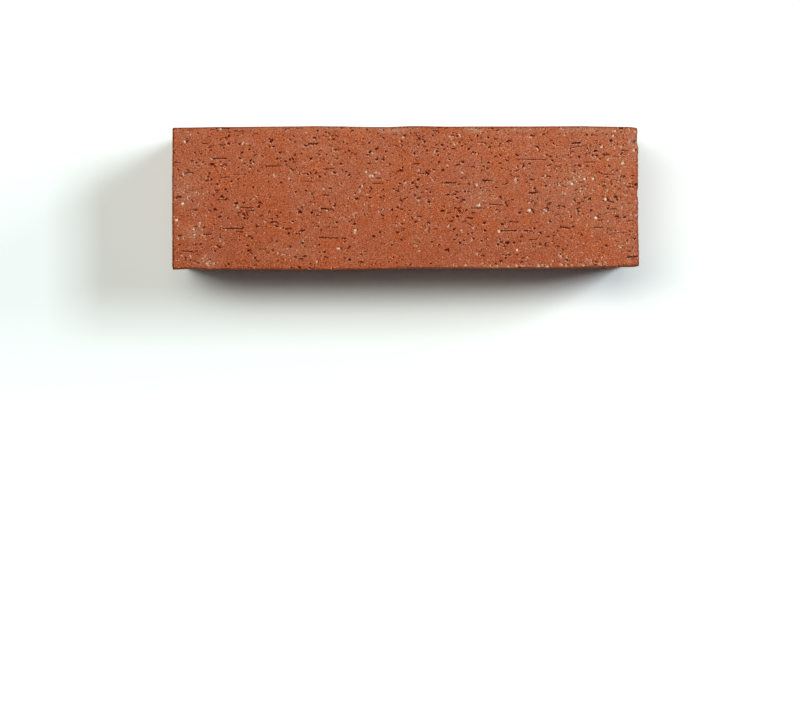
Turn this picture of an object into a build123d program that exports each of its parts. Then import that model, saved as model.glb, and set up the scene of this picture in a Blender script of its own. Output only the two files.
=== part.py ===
from build123d import *

import os
from dataclasses import dataclass

# A solid extruded facing brick of fired red clay, fired and sold as one piece.
#
# The clay column was pushed through a die along X, and wires cut it to length, so the four
# arrises along X are eased by the die and the eight arrises round the two ends are the wires',
# and sharper. The brick lies on its back face with its show face up, as it does on a table:
# +Z is up, X runs along the brick, and Y runs from one bed face to the other. The origin is the
# middle of the underside. Lengths are millimetres.

# The block
LENGTH = 215.0  # end to end, along X
COURSE_HEIGHT = 65.8  # bed face to bed face, along Y: 65 mm as sold, and this one is a little over
BED_DEPTH = 102.5  # show face to back face, along Z

# How far each kind of arris is rounded
DIE_ARRIS_RADIUS = 1.1  # the four arrises along X
WIRE_ARRIS_RADIUS = 0.55  # the eight arrises round the ends


@dataclass(frozen=True)
class Chip:
    """A shallow scallop broken out of one arris of the show face.

    The run and the bite are its size on the sharp arris that the block would have with no
    rounding: its length along that arris, and its depth on the slant between the two faces.
    """

    run: float
    bite: float

    @property
    def radius(self) -> float:
        """The radius of the sphere that cuts a scallop of this run and bite."""
        return ((self.run / 2) ** 2 + self.bite**2) / (2 * self.bite)

    def cutter(self, arris_point: Vector, outward: Vector) -> Solid:
        """The sphere that cuts it, centred outside the arris point on the outward slant."""
        centre = arris_point + outward.normalized() * (self.radius - self.bite)
        return Solid.make_sphere(self.radius).moved(Location(centre))


# Chips along the upper arris of the show face, by their distance in from the left or right end
UPPER_LEFT_CHIP = Chip(run=9.0, bite=1.15)
UPPER_LEFT_CHIP_FROM_LEFT = 8.4
UPPER_MIDDLE_CHIP = Chip(run=9.5, bite=1.1)
UPPER_MIDDLE_CHIP_FROM_RIGHT = 94.3
UPPER_RIGHT_CHIP = Chip(run=7.5, bite=0.95)
UPPER_RIGHT_CHIP_FROM_RIGHT = 63.0

# A chip in the right end's arris, by its distance down from the upper bed face
RIGHT_END_CHIP = Chip(run=6.5, bite=1.0)
RIGHT_END_CHIP_FROM_UPPER = 5.2

# Chips at the two worn corners of the show face, on the slant through all three faces
UPPER_RIGHT_CORNER_CHIP = Chip(run=6.5, bite=1.5)
LOWER_LEFT_CORNER_CHIP = Chip(run=4.0, bite=1.25)

RIGHT_END_X = LENGTH / 2
LEFT_END_X = -RIGHT_END_X
UPPER_BED_Y = COURSE_HEIGHT / 2
LOWER_BED_Y = -UPPER_BED_Y
SHOW_FACE_Z = BED_DEPTH


def block() -> Part:
    """The brick's block, standing on z = 0, with its die and wire arrises rounded."""
    blank = Box(
        LENGTH,
        COURSE_HEIGHT,
        BED_DEPTH,
        align=(Align.CENTER, Align.CENTER, Align.MIN),
    )
    eased = fillet(blank.edges().filter_by(Axis.X), DIE_ARRIS_RADIUS)
    end_faces = [eased.faces().sort_by(Axis.X)[0], eased.faces().sort_by(Axis.X)[-1]]
    end_edges = [edge for face in end_faces for edge in face.edges()]
    return fillet(end_edges, WIRE_ARRIS_RADIUS)


def chip_cutters() -> list[Solid]:
    """The spheres that break the chips out of the show face's arrises and corners."""
    upper_slant = Vector(0, 1, 1)
    right_slant = Vector(1, 0, 1)
    upper_chips = [
        (UPPER_LEFT_CHIP, LEFT_END_X + UPPER_LEFT_CHIP_FROM_LEFT),
        (UPPER_MIDDLE_CHIP, RIGHT_END_X - UPPER_MIDDLE_CHIP_FROM_RIGHT),
        (UPPER_RIGHT_CHIP, RIGHT_END_X - UPPER_RIGHT_CHIP_FROM_RIGHT),
    ]
    cutters = [
        chip.cutter(Vector(x, UPPER_BED_Y, SHOW_FACE_Z), upper_slant)
        for chip, x in upper_chips
    ]
    cutters.append(
        RIGHT_END_CHIP.cutter(
            Vector(RIGHT_END_X, UPPER_BED_Y - RIGHT_END_CHIP_FROM_UPPER, SHOW_FACE_Z),
            right_slant,
        )
    )
    cutters.append(
        UPPER_RIGHT_CORNER_CHIP.cutter(
            Vector(RIGHT_END_X, UPPER_BED_Y, SHOW_FACE_Z), Vector(1, 1, 1)
        )
    )
    cutters.append(
        LOWER_LEFT_CORNER_CHIP.cutter(
            Vector(LEFT_END_X, LOWER_BED_Y, SHOW_FACE_Z), Vector(-1, -1, 1)
        )
    )
    return cutters


def brick() -> Part:
    """The whole brick: one solid, the rounded block less its chips."""
    shape = block()
    for cutter in chip_cutters():
        shape = shape - cutter
    return shape


os.makedirs("parts", exist_ok=True)
export_step(brick(), "parts/brick.step")
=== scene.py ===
"""A solid facing brick of fired red clay, lying on its back face on a white table.

The brick is one piece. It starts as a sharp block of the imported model's size, whose mesh is made
finer only along the arrises and where something is pressed into it. Grains of grit that were
dragged along the wet clay left pits, grooves and pale grains in every face, and the arrises are
worn round and crumbled. Lengths are millimetres until the mesh is finished, and metres from there.
"""

from __future__ import annotations

import logging
import math
import random
from dataclasses import dataclass, field
from enum import Enum
from typing import Union

import bmesh
import bpy
from mathutils import Matrix, Vector, kdtree, noise


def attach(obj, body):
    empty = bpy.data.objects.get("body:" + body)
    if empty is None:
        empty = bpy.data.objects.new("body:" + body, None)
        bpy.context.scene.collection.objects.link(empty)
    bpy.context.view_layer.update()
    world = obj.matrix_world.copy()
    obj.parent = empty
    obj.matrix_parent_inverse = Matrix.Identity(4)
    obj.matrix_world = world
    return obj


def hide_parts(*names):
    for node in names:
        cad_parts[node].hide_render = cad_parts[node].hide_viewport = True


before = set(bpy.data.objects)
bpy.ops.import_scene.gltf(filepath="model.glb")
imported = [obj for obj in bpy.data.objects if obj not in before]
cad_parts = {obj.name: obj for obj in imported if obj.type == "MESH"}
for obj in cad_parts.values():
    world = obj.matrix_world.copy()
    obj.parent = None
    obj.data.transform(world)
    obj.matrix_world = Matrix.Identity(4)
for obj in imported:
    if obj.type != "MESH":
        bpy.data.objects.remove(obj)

LOG = logging.getLogger("brick")
MM = 0.001
Number = Union[float, "Signal"]
Span = tuple[float, float]

# The block's sizes: end to end, bed face to bed face, and show face to back face
LENGTH = 215.0
COURSE_HEIGHT = 65.8
BED_DEPTH = 102.5

# What is this near to the show face, or nearer, is coloured as that face is
SHOW_FACE_DEPTH = 1.5

# Where the noise is read for each axis of a shift. The library's own noise vector isn't used,
# because it isn't the same each run
AXIS_OFFSETS = (11.3, 47.1, 83.9)


def ease(low: float, high: float, value: float) -> float:
    """Gives 0 below low, 1 above high, and a smooth rise between them.

    Args:
        low: Where the rise starts.
        high: Where it ends.
        value: The place on it.

    Returns:
        A number from 0 to 1.
    """
    part = min(1.0, max(0.0, (value - low) / (high - low)))
    return part * part * (3.0 - 2.0 * part)


def tree_of(points: list) -> kdtree.KDTree:
    """Makes a tree that finds the points near a place.

    Args:
        points: The points, as vectors or tuples.

    Returns:
        The tree, which gives points by their places in the list.
    """
    tree = kdtree.KDTree(len(points))
    for index, point in enumerate(points):
        tree.insert(point, index)
    tree.balance()
    return tree


@dataclass(frozen=True)
class Unevenness:
    """Smooth unevenness about 0, by how far it is from swell to swell and how high they are."""

    size: float
    amount: float = 1.0

    def at(self, point: Vector) -> float:
        """The unevenness at a point."""
        return noise.noise(point / self.size) * self.amount

    def shift(self, point: Vector) -> Vector:
        """A shift at a point that is uneven along all three axes."""
        places = (point / self.size + Vector((0.0, 0.0, offset)) for offset in AXIS_OFFSETS)
        return Vector([noise.noise(place) for place in places]) * self.amount


@dataclass(frozen=True)
class Clouds:
    """Unevenness in a finish, by its size in millimetres, its finer layers and its weight.

    The sharpness is how strong each finer layer is, as a share of the one before.
    """

    size: float
    detail: float
    weight: float = 1.0
    sharpness: float = 0.55


@dataclass(frozen=True)
class Specks:
    """Specks in a finish, in cells of one size that hold one speck at most.

    The share is how many cells hold one, and the radius is the largest specks'. The smallest
    radius and the soft edge are shares of a radius. A squash below 1 draws the specks out along
    the brick, and a stray makes them ragged, with a turn's length from bend to bend. Lengths are
    millimetres.
    """

    spacing: float
    share: float
    radius: float
    smallest: float = 0.4
    edge: float = 0.35
    squash: float = 1.0
    turn: float = 0.5
    stray: float = 0.0


class Signal:
    """One value in a material, on which plain arithmetic adds Math nodes."""

    def __init__(self, wiring: "Wiring", socket: bpy.types.NodeSocket) -> None:
        """Keeps the material's wiring and the socket that the value comes from."""
        self.wiring = wiring
        self.socket = socket

    def _math(self, operation: str, first: Number, second: Number, clamp: bool = False) -> "Signal":
        """Adds one Math node.

        Args:
            operation: The node's operation.
            first: Its first value.
            second: Its second value.
            clamp: Whether the result is held between 0 and 1.

        Returns:
            The node's result.
        """
        settings = {"operation": operation, "use_clamp": clamp}
        return self.wiring.add("ShaderNodeMath", settings, {"Value": first, "Value_001": second})

    def __add__(self, other: Number) -> "Signal":
        """This value plus another."""
        return self._math("ADD", self, other)

    def __radd__(self, other: Number) -> "Signal":
        """Another value plus this one."""
        return self._math("ADD", other, self)

    def __sub__(self, other: Number) -> "Signal":
        """This value less another."""
        return self._math("SUBTRACT", self, other)

    def __rsub__(self, other: Number) -> "Signal":
        """Another value less this one."""
        return self._math("SUBTRACT", other, self)

    def __mul__(self, other: Number) -> "Signal":
        """This value times another."""
        return self._math("MULTIPLY", self, other)

    def __rmul__(self, other: Number) -> "Signal":
        """Another value times this one."""
        return self._math("MULTIPLY", other, self)

    def __truediv__(self, other: Number) -> "Signal":
        """This value over another."""
        return self._math("DIVIDE", self, other)

    def __lt__(self, other: Number) -> "Signal":
        """1 where this value is under another, and 0 elsewhere."""
        return self._math("LESS_THAN", self, other)

    def held(self) -> "Signal":
        """This value, held between 0 and 1."""
        return self._math("ADD", self, 0.0, clamp=True)


class Wiring:
    """The nodes of a new material or sky."""

    def __init__(self, owner: Union[bpy.types.Material, bpy.types.World]) -> None:
        """Starts with the owner's nodes cleared away.

        Args:
            owner: The material or the sky.
        """
        owner.use_nodes = True
        self.owner = owner
        self.nodes = owner.node_tree.nodes
        self.links = owner.node_tree.links
        self.nodes.clear()

    def add(
        self,
        kind: str,
        settings: dict[str, object],
        sockets: dict[str, object],
        output: str = "",
    ) -> Signal:
        """Adds a node.

        Args:
            kind: The node's type.
            settings: What is set on the node before its sockets. A ramp's are its stops, each
                a place and a colour.
            sockets: A value or a link for each input, by the input's identifier.
            output: The output that is wanted, by identifier, or nothing for the first.

        Returns:
            That output's signal.
        """
        node = self.nodes.new(kind)
        for name, setting in settings.items():
            if name == "stops":
                self._set_stops(node.color_ramp, setting)
            else:
                setattr(node, name, setting)
        for name, value in sockets.items():
            socket = next(s for s in node.inputs if name in (s.identifier, s.name))
            if isinstance(value, Signal):
                self.links.new(value.socket, socket)
            else:
                socket.default_value = value
        if not node.outputs:
            return Signal(self, None)
        wanted = (s for s in node.outputs if output in ("", s.identifier, s.name))
        return Signal(self, next(wanted))

    @staticmethod
    def _set_stops(ramp: bpy.types.ColorRamp, stops: list[tuple[float, tuple]]) -> None:
        """Gives a ramp its stops.

        Args:
            ramp: The ramp of a new node, which has two stops.
            stops: Each stop's place and colour, in order.
        """
        while len(ramp.elements) < len(stops):
            ramp.elements.new(1.0)
        for element, (place, colour) in zip(ramp.elements, stops):
            element.position = place
            element.color = (*colour, 1.0)

    def finish(self, shader: Signal) -> Union[bpy.types.Material, bpy.types.World]:
        """Sends a shader to the output.

        Args:
            shader: The shader of the surface, or of the sky.

        Returns:
            The finished owner.
        """
        is_world = isinstance(self.owner, bpy.types.World)
        self.add(f"ShaderNodeOutput{'World' if is_world else 'Material'}", {}, {"Surface": shader})
        return self.owner

    def looked_at(self) -> Signal:
        """1 on rays from the camera or sent on by a gloss or glass, and 0 on rays that light."""
        camera, glossy, through = (
            self.add("ShaderNodeLightPath", {}, {}, f"Is {kind} Ray")
            for kind in ("Camera", "Glossy", "Transmission")
        )
        return (camera + glossy + through).held()

    def millimetres(self) -> Signal:
        """The place on the piece, in millimetres."""
        place = self.add("ShaderNodeTexCoord", {}, {}, "Object")
        return self.scaled(place, (1.0 / MM, 1.0 / MM, 1.0 / MM))

    def part(self, vector: Signal, axis: str) -> Signal:
        """One part of a vector: X, Y or Z."""
        return self.add("ShaderNodeSeparateXYZ", {}, {"Vector": vector}, axis)

    def scaled(self, vector: Signal, factors: object) -> Signal:
        """A vector or colour, with each of its parts times a factor of its own."""
        sockets = {"Vector": vector, "Vector_001": factors}
        return self.add("ShaderNodeVectorMath", {"operation": "MULTIPLY"}, sockets, "Vector")

    def turned(self, vector: Signal, angles: tuple[float, float, float]) -> Signal:
        """A vector, turned about the three axes by so many radians."""
        sockets = {"Vector": vector, "Rotation": angles}
        return self.add("ShaderNodeVectorRotate", {"rotation_type": "EULER_XYZ"}, sockets, "Vector")

    def attribute(self, name: str) -> Signal:
        """A value that the mesh carries at its points."""
        return self.add("ShaderNodeAttribute", {"attribute_name": name}, {}, "Fac")

    def cloudiness(self, place: Signal, clouds: Clouds) -> Signal:
        """Smooth unevenness about 0, mostly within a quarter of its weight.

        Args:
            place: The place on the piece, in millimetres.
            clouds: The unevenness that is wanted.

        Returns:
            The unevenness.
        """
        sockets = {
            "Vector": place,
            "Scale": 1.0 / clouds.size,
            "Detail": clouds.detail,
            "Roughness": clouds.sharpness,
        }
        return (self.add("ShaderNodeTexNoise", {}, sockets, "Fac") - 0.5) * clouds.weight

    def wandering(self, place: Signal, size: float, reach: float) -> Signal:
        """A place that wanders about, so that a pattern on it gets ragged.

        Args:
            place: The place on the piece, in millimetres.
            size: How far it is from one turn to the next, in millimetres.
            reach: Four times how far it mostly strays, in millimetres.

        Returns:
            The place that wanders.
        """
        sockets = {"Vector": place, "Scale": 1.0 / size, "Detail": 1.0}
        stray = self.add("ShaderNodeTexNoise", {}, sockets, "Color")
        settings = {"operation": "MULTIPLY_ADD"}
        sockets = {"Vector": stray, "Vector_001": (reach, reach, reach), "Vector_002": place}
        return self.add("ShaderNodeVectorMath", settings, sockets, "Vector")

    def specks(self, place: Signal, kind: Specks) -> Signal:
        """Small specks, scattered through the clay.

        Args:
            place: The place on the piece, in millimetres.
            kind: The specks that are wanted.

        Returns:
            A mask that is 1 in the middle of each speck.
        """
        if kind.stray:
            squashed = self.scaled(place, (kind.squash, 1.0, 1.0))
            place = self.wandering(squashed, kind.turn, kind.stray)
        settings = {"voronoi_dimensions": "3D", "feature": "F1"}
        sockets = {"Vector": place, "Scale": 1.0 / kind.spacing}
        distance = self.add("ShaderNodeTexVoronoi", settings, sockets, "Distance")
        lot = Signal(self, distance.socket.node.outputs["Color"])
        chance = self.add("ShaderNodeSeparateColor", {}, {"Color": lot}, "Red")
        size = Signal(self, chance.socket.node.outputs["Green"])
        reach = (size * (1.0 - kind.smallest) + kind.smallest) * (kind.radius / kind.spacing)
        return ((reach - distance) / (reach * kind.edge)).held() * (chance < kind.share)

    def mixed(self, part: Number, first: object, second: object) -> Signal:
        """A colour that goes from the first to the second as part goes from 0 to 1."""
        sockets = {"Factor_Float": part, "A_Color": first, "B_Color": second}
        return self.add("ShaderNodeMix", {"data_type": "RGBA"}, sockets, "Result_Color")


@dataclass(frozen=True)
class FiredClay:
    """The finish of red clay, fired hard: dry and matt, with pale grit and pores darkened by painted
    shade.

    A tone picks the clay's colour. Five colours, from the painted shade inside pores to a grain of
    grit, each have their place on that scale. Rust and rose tint what it gives. The mesh's hollows
    and arrises get painted shade, near-black where deepest, and the rings round its marks a painted
    highlight.
    """

    name: str = "fired_red_clay"
    roughness: float = 0.92
    shine: float = 0.12

    # The colours by tone, each with its place. The first, inside a pore, is painted shade
    pore: tuple = (0.0, (0.085, 0.005, 0.0))
    deep: tuple = (0.27, (0.285, 0.055, 0.0155))
    body: tuple = (0.5, (0.490, 0.108, 0.0445))
    pale: tuple = (0.68, (0.605, 0.177, 0.085))
    grit: tuple = (1.0, (0.86, 0.57, 0.38))

    # The colours that cover or tint them; the near-black one darkens painted shade in the hollows
    flint: tuple = (0.99, 0.79, 0.61, 1.0)
    shade_black: tuple = (0.022, 0.021, 0.026, 1.0)
    burnt: tuple = (0.07, 0.085, 0.09, 1.0)
    lime: tuple = (0.58, 0.30, 0.19, 1.0)
    rosy: tuple = (0.94, 1.09, 1.33, 1.0)
    rusty: tuple = (1.055, 0.91, 0.69, 1.0)

    # The tone of the plain clay, and how far each thing moves it: pores and hollows by painted shade
    plain_tone: float = 0.485
    grain_tone: float = 0.52
    pore_shade_tone: float = 0.8
    hollow_shade_tone: float = 0.7
    paler_to_right: float = 0.053 / LENGTH
    paler_to_top: float = 0.079 / COURSE_HEIGHT
    clouds: Clouds = Clouds(55.0, 2.0, 0.1)
    patches: Clouds = Clouds(6.0, 2.0, 0.1)
    mottle: Clouds = Clouds(1.1, 2.0, 0.08)
    fine: Clouds = Clouds(0.38, 1.0, 1.32)
    drag: float = 0.85
    fine_turn: tuple = (0.6, 0.5, 0.7)

    # What shows in it: pores and pits, darkened with painted shade and sunk in the relief, and
    # grains by how gritty the clay is
    pores: Specks = Specks(1.05, 0.5, 0.33, squash=0.75, turn=0.45, stray=0.5)
    pits: Specks = Specks(2.3, 0.4, 0.62, squash=0.6, turn=0.6, stray=1.4)
    grains: Specks = Specks(1.05, 0.43, 0.3)
    grit_where_rough: float = 0.85
    grit_in_bloom: float = 2.0
    grittier_to_bottom: float = 1.0 / COURSE_HEIGHT

    # What tints and covers it, and how much of it at most. The last three blacken the painted shade
    # in the hollows, in clouds
    flecks: Clouds = Clouds(1.2, 2.0, 1.8)
    blushes: Clouds = Clouds(12.0, 3.0, 1.5)
    dust: Clouds = Clouds(1.3, 2.0, 3.0)
    most_dust: float = 0.85
    shade_clouds: Clouds = Clouds(1.8, 1.0, 5.0)
    shade_threshold: float = 0.1
    most_shade_black: float = 0.7

    # Its relief: how high a step of 1 stands, and how deep the pores and pits go in such steps
    relief: float = 0.35
    crust: Clouds = Clouds(0.7, 3.0)
    swells: Clouds = Clouds(2.6, 1.0)
    pore_depth: float = 0.8
    pit_depth: float = 1.6

    def evenness(self, wiring: Wiring, place: Signal) -> Signal:
        """The clay's tone away from its pores and grains: about 0.5.

        Args:
            wiring: The material's wiring.
            place: The place on the piece, in millimetres.

        Returns:
            The tone.
        """
        dragged = wiring.scaled(place, (self.drag, 1.0, 1.0))
        clouds = wiring.cloudiness(place, self.clouds)
        patches = wiring.cloudiness(place, self.patches)
        mottle = wiring.cloudiness(dragged, self.mottle)
        fine = wiring.cloudiness(wiring.turned(dragged, self.fine_turn), self.fine)
        to_right = wiring.part(place, "X") * self.paler_to_right
        to_top = wiring.part(place, "Y") * self.paler_to_top
        return self.plain_tone + clouds + patches + mottle + fine + to_right + to_top

    def coloured(self, wiring: Wiring, place: Signal, tone: Signal) -> Signal:
        """The clay's colour, with what dusts and grains it and the near-black painted shade in hollows.

        Args:
            wiring: The material's wiring.
            place: The place on the piece, in millimetres.
            tone: The clay's tone.

        Returns:
            The colour.
        """
        # hollow holds the painted shade of marks and arrises, and below 0 the painted highlight round
        # marks
        hollow, grain = wiring.attribute("hollow"), wiring.attribute("grain")
        stops = [self.pore, self.deep, self.body, self.pale, self.grit]
        fired = wiring.add("ShaderNodeValToRGB", {"stops": stops}, {"Fac": tone}, "Color")
        flecks, blushes = wiring.cloudiness(place, self.flecks), wiring.cloudiness(place, self.blushes)
        cast = wiring.mixed((flecks + blushes + 0.5).held(), self.rusty, self.rosy)
        dustiness = (wiring.cloudiness(place, self.dust) + 0.5).held()
        dusting = dustiness * wiring.attribute("bloom") * self.most_dust
        dusted = wiring.mixed(dusting.held(), wiring.scaled(fired, cast), self.lime)
        grained = wiring.mixed(grain.held(), dusted, self.flint)
        # Painted shade in the hollows, turned near-black in clouds
        shade_cover = (wiring.cloudiness(place, self.shade_clouds) - self.shade_threshold).held()
        shaded = wiring.mixed(shade_cover * hollow.held() * self.most_shade_black, grained, self.shade_black)
        return wiring.mixed((0.0 - grain).held(), shaded, self.burnt)

    def material(self) -> bpy.types.Material:
        """Makes the material.

        Returns:
            The material.
        """
        wiring = Wiring(bpy.data.materials.new(self.name))
        place = wiring.millimetres()
        rough = wiring.attribute("rough")
        pores = wiring.specks(place, self.pores) * rough
        pits = wiring.specks(place, self.pits) * wiring.attribute("unseen")
        grit = rough * self.grit_where_rough + wiring.attribute("bloom") * self.grit_in_bloom
        grittiness = grit - wiring.part(place, "Y") * self.grittier_to_bottom
        grains = wiring.specks(place, self.grains) * grittiness
        tone = self.evenness(wiring, place) + grains * self.grain_tone
        # Painted shade in pores, pits, hollows and on arrises; below 0, painted highlight round marks
        tone = tone - (pores + pits) * self.pore_shade_tone - wiring.attribute("hollow") * self.hollow_shade_tone
        height = wiring.cloudiness(place, self.crust) + wiring.cloudiness(place, self.swells)
        height = height - pores * self.pore_depth - pits * self.pit_depth
        bump_sockets = {"Height": height, "Strength": 1.0, "Distance": self.relief * MM}
        sockets = {
            "Base Color": self.coloured(wiring, place, tone),
            "Roughness": self.roughness,
            "Specular IOR Level": self.shine,
            "Normal": wiring.add("ShaderNodeBump", {}, bump_sockets, "Normal"),
        }
        return wiring.finish(wiring.add("ShaderNodeBsdfPrincipled", {}, sockets, "BSDF"))


@dataclass(frozen=True)
class WhiteTable:
    """The table's finish: white where the light falls, and darker in the brick's shadow."""

    name: str = "white_table"
    seen: tuple = (1.15, 1.15, 1.15, 1.0)
    lighting: tuple = (0.6, 0.61, 0.6, 1.0)

    def material(self) -> bpy.types.Material:
        """Makes the material, which is whiter to the camera than to the light that it throws back.

        Returns:
            The material.
        """
        wiring = Wiring(bpy.data.materials.new(self.name))
        colour = wiring.mixed(wiring.looked_at(), self.lighting, self.seen)
        return wiring.finish(wiring.add("ShaderNodeBsdfDiffuse", {}, {"Color": colour}, "BSDF"))


@dataclass(frozen=True)
class Plane:
    """One flat face of the block, with the directions along and across it.

    The along direction is the one that the clay was dragged in.
    """

    outward: Vector
    along: Vector
    middle: Vector
    half_run: float
    half_rise: float

    @property
    def across(self) -> Vector:
        """The direction across the marks."""
        return self.outward.cross(self.along)

    def point(self, along: float, across: float) -> Vector:
        """The point of the face that is so far from its middle."""
        return self.middle + self.along * along + self.across * across


class Face(Enum):
    """The brick's faces, each with its outward direction and the direction of its marks."""

    SHOW = ((0, 0, 1), (1, 0, 0))
    BACK = ((0, 0, -1), (1, 0, 0))
    UPPER_BED = ((0, 1, 0), (1, 0, 0))
    LOWER_BED = ((0, -1, 0), (1, 0, 0))
    LEFT_END = ((-1, 0, 0), (0, 0, 1))
    RIGHT_END = ((1, 0, 0), (0, 0, 1))


# Where a mark's wall, its painted shade, and the rise and fall of the painted highlight round it
# start and end, in half widths from its middle line
WALL = (0.25, 1.15)
PAINTED_SHADE = (0.75, 1.12)
RIM_RISE = (0.9, 1.25)
RIM_FALL = (1.5, 2.0)

# How strong the painted highlight round a mark is on the whole, and how much it grows towards
# the lower left, where the mark's wall faces the lamps
RIM_LIGHT = 0.5
RIM_LIGHT_TO_LOWER_LEFT = 0.35

# In a grain's radii: how far left of and below its mark's left end it sits, where it ends, and
# how high its dome is
GRAIN_SEAT = (0.7, 0.25)
GRAIN_EDGE = (0.7, 1.15)
GRAIN_DOME = 0.4

# How ragged outlines are: a mark's, a small grain's, and how much less a large grain's is, with
# the radii between which a grain gets large
MARK_RAGGED = 0.9
GRAIN_RAGGED = 1.2
LARGE_GRAIN_SMOOTHER = 0.8
LARGE_GRAIN = (0.4, 0.6)

# The unevenness that makes them so
OUTLINE = Unevenness(0.55)

# The points along a mark's middle line that the mesh is made fine round are about a width apart,
# or this far where the mark is narrower
SHORTEST_STEP = 0.6


@dataclass(frozen=True)
class Mark:
    """What one grain of grit left in the clay: a pit, or a groove that it was dragged along.

    Its place is its middle, from the middle of the face. The grain, if it is still there, sits
    at the mark's left end. It is as pale as it says, and a burnt one has a paleness below 0.
    The hollow's darkness is painted shade, and a paler ring round it is a painted highlight,
    strongest on the lower left, where the wall faces the lamps.
    """

    along: float
    across: float
    run: float = 0.0
    width: float = 0.9
    depth: float = 0.5
    slope: float = 0.0
    bow: float = 0.0
    shade: float = 0.8
    rim_highlight: float = 0.0
    grain: float = 0.0
    pale: float = 1.0
    spacing: float = 0.26

    @property
    def reach(self) -> float:
        """How far from its middle the mark can touch a point."""
        return self.run / 2 + self.width + self.grain * 2

    @property
    def fine_reach(self) -> float:
        """How far from its middle line the mark needs a fine mesh."""
        return self.width / 2 + self.grain * 0.5

    def spine(self, along: float) -> float:
        """How far across the mark's middle line is.

        Args:
            along: How far along from the mark's middle.

        Returns:
            How far across from it.
        """
        if not self.run:
            return 0.0
        part = along / (self.run / 2)
        return self.slope * part / 2 + self.bow * (1 - part * part)

    def samples(self) -> list[tuple[float, float]]:
        """Points along the mark's middle line.

        Returns:
            Each point's place along and across the face.
        """
        count = max(1, round(self.run / max(self.width, SHORTEST_STEP)) + 1)
        places = [self.run * ((k + 0.5) / count - 0.5) for k in range(count)]
        return [(self.along + place, self.across + self.spine(place)) for place in places]

    def effect(self, along: float, across: float, ragged: float) -> tuple[float, float, float]:
        """What the mark does to one point of the face.

        Args:
            along: How far along from the mark's middle the point is.
            across: How far across from it.
            ragged: Unevenness about 0 that keeps the mark's outline from being round.

        Returns:
            How deep the point is pressed in, its painted shade, which is a painted highlight below 0,
            and how much it is grain.
        """
        half = self.run / 2
        inside = min(half, max(-half, along))
        past = along - inside
        off = math.hypot(past, across - self.spine(inside))
        part = off / (self.width / 2) * (1.0 + MARK_RAGGED * ragged)
        depth = self.depth * (1.0 - ease(*WALL, part))
        # Painted shade inside the hollow
        dark = self.shade * (1.0 - ease(*PAINTED_SHADE, part))
        # A painted highlight round the hollow, strongest on the lower left, where its wall faces the
        # lamps
        if self.rim_highlight and off > 0.0:
            to_upper_right = past + across - self.spine(inside)
            light = RIM_LIGHT - RIM_LIGHT_TO_LOWER_LEFT * to_upper_right / off
            dark -= self.rim_highlight * light * ease(*RIM_RISE, part) * (1.0 - ease(*RIM_FALL, part))
        if not self.grain:
            return depth, dark, 0.0
        left, below = (self.grain * share for share in GRAIN_SEAT)
        near = math.hypot(along + half + left, across + below)
        raggedness = GRAIN_RAGGED - LARGE_GRAIN_SMOOTHER * ease(*LARGE_GRAIN, self.grain)
        near = near / self.grain * (1.0 + raggedness * ragged)
        cover = 1.0 - ease(*GRAIN_EDGE, near)
        dome = self.grain * GRAIN_DOME * math.sqrt(max(0.0, 1.0 - near * near))
        return depth * (1.0 - cover) - dome, max(0.0, dark) * (1.0 - cover), self.pale * cover


@dataclass(frozen=True)
class Chip:
    """A scallop broken out of an arris.

    The run and the bite are its size on the sharp arris: its length along it, and its depth on
    the slant between the faces.
    """

    point: tuple
    outward: tuple
    run: float
    bite: float
    roughness: Unevenness = Unevenness(0.9, 0.05)

    @property
    def radius(self) -> float:
        """The radius of the ball that leaves a scallop of this run and bite."""
        return ((self.run / 2) ** 2 + self.bite**2) / (2 * self.bite)

    @property
    def centre(self) -> Vector:
        """The middle of that ball, outside the brick."""
        return Vector(self.point) + Vector(self.outward).normalized() * (self.radius - self.bite)

    def broken(self, point: Vector) -> Vector:
        """Breaks a point away, if the scallop takes it.

        Args:
            point: A point of the brick.

        Returns:
            Its place on the scallop, or where it was.
        """
        away = point - self.centre
        rough = 1.0 + self.roughness.at(point) / self.radius
        if away.length >= self.radius * rough:
            return point
        return self.centre + away.normalized() * (self.radius * rough)


@dataclass(frozen=True)
class Crumbs:
    """Small chips at random places, by how many there are and the spans of their runs and bites."""

    count: int
    runs: Span
    bites: Span

    def crumb(self, rng: random.Random, point: tuple, outward: tuple) -> Chip:
        """One crumb at a point, of a random size."""
        return Chip(point, outward, rng.uniform(*self.runs), rng.uniform(*self.bites))


# The crumbs of the show face's right arris, of its long arrises, and of the brick's other arrises
END_CRUMBS = Crumbs(34, (1.0, 2.6), (0.35, 0.6))
LONG_CRUMBS = Crumbs(40, (1.0, 3.2), (0.45, 0.7))
HIDDEN_CRUMBS = Crumbs(60, (2.0, 6.0), (0.5, 1.0))
CRUMB_SEED = 41

# Crumbs keep this far from the ends of the upright arrises
CRUMB_MARGIN = 2.0

# No chip or crumb reaches further than this from its point
CHIP_REACH = 7.0


@dataclass(frozen=True)
class Wander:
    """How far an arris strays outwards from a straight line, at stations along it."""

    stations: tuple

    def at(self, place: float) -> float:
        """The stray at a place, eased from station to station.

        Args:
            place: How far along the arris, from the brick's middle.

        Returns:
            How far outwards it is.
        """
        before = self.stations[0]
        for after in self.stations:
            if place < after[0]:
                part = ease(before[0], after[0], place) if after[0] > before[0] else 0.0
                return before[1] + (after[1] - before[1]) * part
            before = after
        return before[1]


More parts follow.
